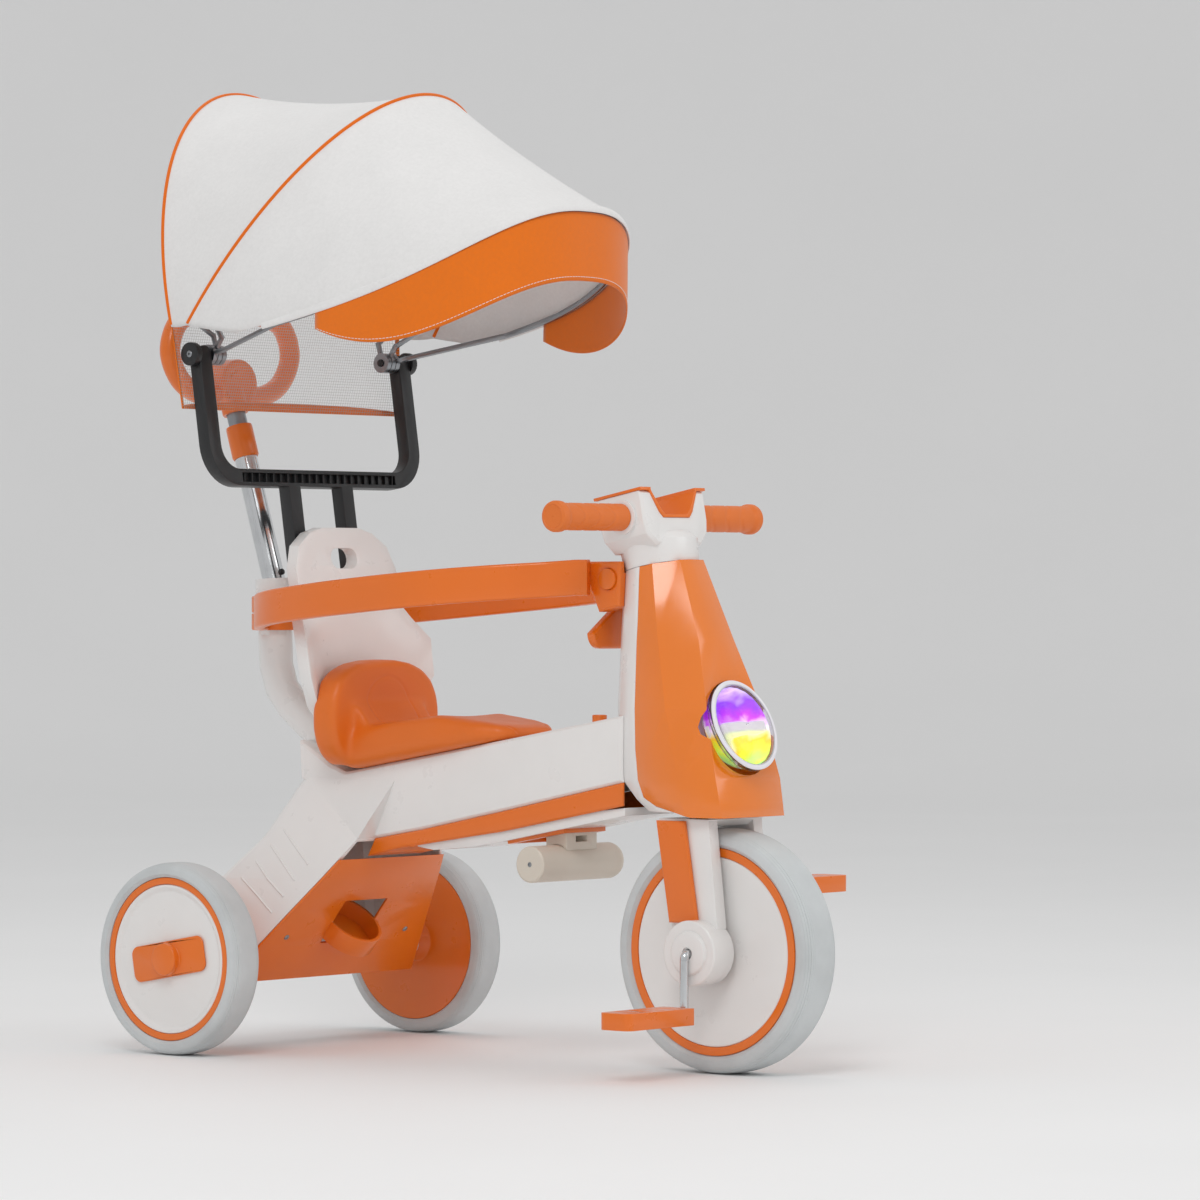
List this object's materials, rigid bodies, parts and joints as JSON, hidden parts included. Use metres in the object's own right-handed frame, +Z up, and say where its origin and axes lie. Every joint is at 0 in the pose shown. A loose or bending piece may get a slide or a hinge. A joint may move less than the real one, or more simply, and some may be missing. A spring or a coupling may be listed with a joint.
{
  "type": "children's tricycle",
  "caption": "Child's pedal tricycle with a folding sun canopy on a rear bracket, guard rails round the seat, a parent push handle and a sliding footrest.",
  "frame": {"origin": "centre of the footprint's bounding box, on the ground", "axes": "+X forwards, +Y to the rider's left, +Z up"},
  "size_m": [0.8386, 0.4396, 1.0376],
  "materials": {
    "white": "glossy moulded",
    "orange": "glossy moulded",
    "cream": "satin moulded",
    "tyre": "fine ribs",
    "chrome": "polished",
    "steel": "drawn",
    "black": "satin moulded",
    "clear": "clear moulded lens",
    "pad": "smooth soft cover",
    "white_cloth": "woven",
    "orange_cloth": "woven",
    "net": "fine mesh"
  },
  "bodies": {
    "frame": {"column_shell": "white", "front_shield": "orange", "lamp_housing": "clear", "lamp_lens": "clear", "stem_bush_lower": "black", "stem_bush_upper": "black", "beam_shell": "white", "rear_axle": "steel", "beam_trim": "orange", "belly": "white", "rear_panel": "orange", "seat_pad": "pad", "seat_back": "white", "rear_post": "white", "push_tube": "chrome", "pole_sleeve": "orange", "guard_block": "orange", "canopy_bracket": "black", "pivot_knob_left": "black", "pivot_knob_right": "black", "canopy_fabric": "white_cloth", "bow_rear": "steel", "canopy_curtain": "net"},
    "steering": {"fork": "white", "fork_cover_left": "orange", "fork_cover_right": "orange", "steering_stem": "steel", "handlebar_tube": "steel", "handlebar_housing": "white", "tray_liner": "orange", "grip_left": "orange", "grip_right": "orange"},
    "front_wheel": {"front_tyre": "tyre", "front_rim": "orange", "front_disc_left": "white", "front_disc_right": "white", "pedal_crank": "chrome"},
    "pedal_right_body": {"pedal_right": "orange"},
    "pedal_left_body": {"pedal_left": "orange"},
    "rear_wheel_left": {"rear_tyre_left": "tyre", "rear_rim_left": "orange", "rear_disc_left": "white", "rear_cap_left": "orange"},
    "rear_wheel_right": {"rear_tyre_right": "tyre", "rear_rim_right": "orange", "rear_disc_right": "white", "rear_cap_right": "orange"},
    "canopy_brim": {"bow_front": "steel", "canopy_valance": "orange_cloth"},
    "canopy_arch": {"bow_middle": "steel"},
    "guard_right": {"guard_rail_right": "orange"},
    "guard_left": {"guard_rail_left": "orange"},
    "guard_lock_right": {"guard_button_right": "orange"},
    "guard_lock_left": {"guard_button_left": "orange"},
    "beam_lock": {"beam_button": "orange"},
    "footrest": {"footrest_stem": "cream", "footrest_bar": "cream"},
    "push_grip": {"push_handle": "orange", "pole_inner": "steel"},
    "pole_lock": {"pole_button": "black"}
  },
  "joints": [
    {"name": "steering_turn", "type": "hinge", "parent": "frame", "child": "steering", "pos_m": [0.2602, 0, 0.257], "axis": [-0.1874, 0, 0.9823], "range_deg": [-45, 45]},
    {"name": "front_wheel_spin", "type": "hinge", "parent": "steering", "child": "front_wheel", "pos_m": [0.2952, 0, 0.125], "axis": [0, 1, 0], "continuous": true},
    {"name": "pedal_right_spin", "type": "hinge", "parent": "front_wheel", "child": "pedal_right_body", "pos_m": [0.2952, -0.13, 0.063], "axis": [0, 1, 0], "continuous": true},
    {"name": "pedal_left_spin", "type": "hinge", "parent": "front_wheel", "child": "pedal_left_body", "pos_m": [0.2952, 0.13, 0.187], "axis": [0, 1, 0], "continuous": true},
    {"name": "rear_wheel_left_spin", "type": "hinge", "parent": "frame", "child": "rear_wheel_left", "pos_m": [-0.2908, 0.195, 0.102], "axis": [0, 1, 0], "continuous": true},
    {"name": "rear_wheel_right_spin", "type": "hinge", "parent": "frame", "child": "rear_wheel_right", "pos_m": [-0.2908, -0.195, 0.102], "axis": [0, 1, 0], "continuous": true},
    {"name": "canopy_fold", "type": "hinge", "parent": "frame", "child": "canopy_brim", "pos_m": [-0.29392, 0, 0.74389], "axis": [0, 1, 0], "range_deg": [-60, 0], "deforming": ["canopy_fabric"]},
    {"name": "canopy_arch_fold", "type": "hinge", "parent": "frame", "child": "canopy_arch", "pos_m": [-0.29392, 0, 0.74389], "axis": [0, 1, 0], "range_deg": [-30, 0]},
    {"name": "guard_right_swing", "type": "hinge", "parent": "frame", "child": "guard_right", "pos_m": [-0.3328, 0, 0.468], "axis": [0, 0, 1], "range_deg": [-75, 0]},
    {"name": "guard_left_swing", "type": "hinge", "parent": "frame", "child": "guard_left", "pos_m": [-0.3328, 0, 0.468], "axis": [0, 0, 1], "range_deg": [0, 75]},
    {"name": "guard_button_right_press", "type": "slide", "parent": "frame", "child": "guard_lock_right", "axis": [0, 1, 0], "range_m": [0, 0.004], "stiffness_N_per_m": 600},
    {"name": "guard_button_left_press", "type": "slide", "parent": "frame", "child": "guard_lock_left", "axis": [0, -1, 0], "range_m": [0, 0.004], "stiffness_N_per_m": 600},
    {"name": "beam_button_press", "type": "slide", "parent": "frame", "child": "beam_lock", "axis": [0, 0, -1], "range_m": [0, 0.004], "stiffness_N_per_m": 600},
    {"name": "footrest_slide", "type": "slide", "parent": "frame", "child": "footrest", "axis": [0.9824, 0, 0.1867], "range_m": [-0.042, 0]},
    {"name": "handle_slide", "type": "slide", "parent": "frame", "child": "push_grip", "axis": [-0.299, 0, 0.9542], "range_m": [0, 0.09]},
    {"name": "pole_button_press", "type": "slide", "parent": "frame", "child": "pole_lock", "axis": [-0.9542, 0, -0.299], "range_m": [0, 0.002], "stiffness_N_per_m": 600}
  ],
  "couplings": [
    {"joint": "canopy_arch_fold", "follows": "canopy_fold", "ratio": 0.5}
  ]
}
